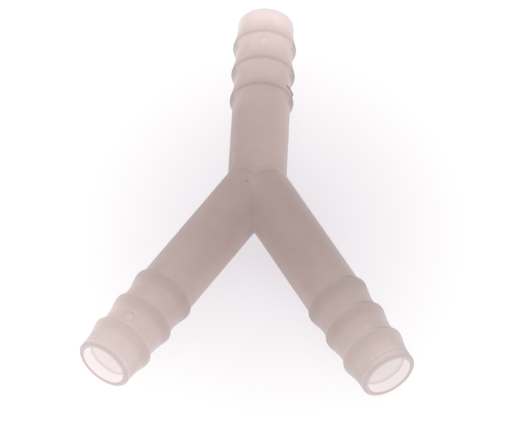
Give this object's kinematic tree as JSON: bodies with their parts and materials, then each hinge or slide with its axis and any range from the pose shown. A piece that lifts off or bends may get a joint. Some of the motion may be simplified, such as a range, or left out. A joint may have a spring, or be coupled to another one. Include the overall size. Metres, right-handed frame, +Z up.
{
  "type": "hose splitter",
  "caption": "Moulded Y-shaped hose splitter: a short barbed inlet tail branches into longer barbed outlet tails, with clear round passages, in milky translucent plastic.",
  "frame": {"origin": "point where the axes of the three passages cross, on the mid-plane of the fitting", "axes": "+Y runs out along the inlet leg; the branch legs point to -Y, one at 31 degrees to each side of -Y in the XY plane (left towards -X, right towards +X); +Z is up, across the flat of the Y, so the part lies on its barb crests"},
  "size_m": [0.067, 0.0937, 0.0132],
  "materials": {
    "natural_plastic": "satin, natural uncoloured plastic, milky and slightly translucent"
  },
  "bodies": {
    "root": {"splitter_body": "natural_plastic"}
  },
  "joints": []
}
